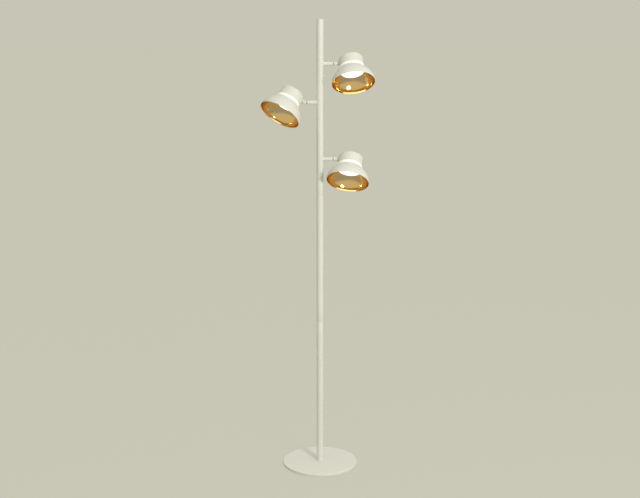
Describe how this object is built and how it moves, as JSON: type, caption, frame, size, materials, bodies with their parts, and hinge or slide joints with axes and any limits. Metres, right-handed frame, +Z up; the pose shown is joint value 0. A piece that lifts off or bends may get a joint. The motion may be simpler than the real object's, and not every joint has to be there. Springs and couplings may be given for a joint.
{
  "type": "floor lamp",
  "caption": "Floor lamp: round plate base, slim straight pole and short side arms, each with a two-axis knuckle and a domed spot head with a gold reflector and a bright ring.",
  "frame": {"origin": "centre of the base's underside, on the floor under the pole's axis", "axes": "+Z up along the pole, +X along the upper and lower arms, the front faces -Y"},
  "size_m": [0.3931, 0.27, 1.6],
  "materials": {
    "white_powder_coat": "fine-texture powder coat on steel, warm white",
    "white_shell_coat": "fine-texture powder coat on a spun shell, warm white",
    "gold_reflector": "polished and gold anodised",
    "frosted_acrylic": "frosted, lit from behind",
    "lamp_plastic": "moulded white",
    "white_thermoplastic": "moulded white, heat resistant",
    "nylon": "natural",
    "zinc_steel": "zinc plated",
    "cable_sheath": "soft white sheath",
    "black_rubber": "moulded",
    "pad_foam": "thin closed-cell foam"
  },
  "bodies": {
    "stand": {"base_plate": "white_powder_coat", "base_pad": "pad_foam", "outlet_bush": "black_rubber", "pole_foot_plug": "zinc_steel", "foot_screws": "zinc_steel", "pole_lower_tube": "white_powder_coat", "pole_middle_tube": "white_powder_coat", "pole_upper_tube": "white_powder_coat", "pole_couplers": "zinc_steel", "pole_top_cap": "white_powder_coat", "pole_wiring": "cable_sheath", "arm_bosses": "zinc_steel", "swivel_stop_screws": "zinc_steel", "upper_arm": "white_powder_coat", "middle_arm": "white_powder_coat", "lower_arm": "white_powder_coat"},
    "upper_knuckle": {"upper_swivel_fork": "white_powder_coat", "upper_hinge_screw": "zinc_steel", "upper_friction_washers": "nylon"},
    "upper_head": {"upper_hinge_tongue": "white_powder_coat", "upper_tongue_screws": "zinc_steel", "upper_cap_housing": "white_shell_coat", "upper_lamp_holder": "white_thermoplastic", "upper_holder_screws": "zinc_steel", "upper_head_lead": "cable_sheath", "upper_light_ring": "frosted_acrylic", "upper_outer_bowl": "white_shell_coat", "upper_reflector": "gold_reflector", "upper_lamp_body": "lamp_plastic", "upper_lamp_cover": "frosted_acrylic"},
    "middle_knuckle": {"middle_swivel_fork": "white_powder_coat", "middle_hinge_screw": "zinc_steel", "middle_friction_washers": "nylon"},
    "middle_head": {"middle_hinge_tongue": "white_powder_coat", "middle_tongue_screws": "zinc_steel", "middle_cap_housing": "white_shell_coat", "middle_lamp_holder": "white_thermoplastic", "middle_holder_screws": "zinc_steel", "middle_head_lead": "cable_sheath", "middle_light_ring": "frosted_acrylic", "middle_outer_bowl": "white_shell_coat", "middle_reflector": "gold_reflector", "middle_lamp_body": "lamp_plastic", "middle_lamp_cover": "frosted_acrylic"},
    "lower_knuckle": {"lower_swivel_fork": "white_powder_coat", "lower_hinge_screw": "zinc_steel", "lower_friction_washers": "nylon"},
    "lower_head": {"lower_hinge_tongue": "white_powder_coat", "lower_tongue_screws": "zinc_steel", "lower_cap_housing": "white_shell_coat", "lower_lamp_holder": "white_thermoplastic", "lower_holder_screws": "zinc_steel", "lower_head_lead": "cable_sheath", "lower_light_ring": "frosted_acrylic", "lower_outer_bowl": "white_shell_coat", "lower_reflector": "gold_reflector", "lower_lamp_body": "lamp_plastic", "lower_lamp_cover": "frosted_acrylic"}
  },
  "joints": [
    {"name": "upper_swivel", "type": "hinge", "parent": "stand", "child": "upper_knuckle", "pos_m": [0.0535, 0, 1.45], "axis": [1, 0, 0], "range_deg": [-115.7, 184.3]},
    {"name": "upper_hinge", "type": "hinge", "parent": "upper_knuckle", "child": "upper_head", "pos_m": [0.0535, 0, 1.45], "axis": [0, -0.8261, 0.5635], "range_deg": [-17, 70]},
    {"name": "middle_swivel", "type": "hinge", "parent": "stand", "child": "middle_knuckle", "pos_m": [-0.0535, 0, 1.318], "axis": [-1, 0, 0], "range_deg": [-181.9, 118.1]},
    {"name": "middle_hinge", "type": "hinge", "parent": "middle_knuckle", "child": "middle_head", "pos_m": [-0.0535, 0, 1.318], "axis": [0, 0.849, -0.5284], "range_deg": [-39.6, 47.4]},
    {"name": "lower_swivel", "type": "hinge", "parent": "stand", "child": "lower_knuckle", "pos_m": [0.0535, 0, 1.1215], "axis": [1, 0, 0], "range_deg": [-114.3, 185.7]},
    {"name": "lower_hinge", "type": "hinge", "parent": "lower_knuckle", "child": "lower_head", "pos_m": [0.0535, 0, 1.1215], "axis": [0, -0.8121, 0.5835], "range_deg": [-4, 83]}
  ]
}
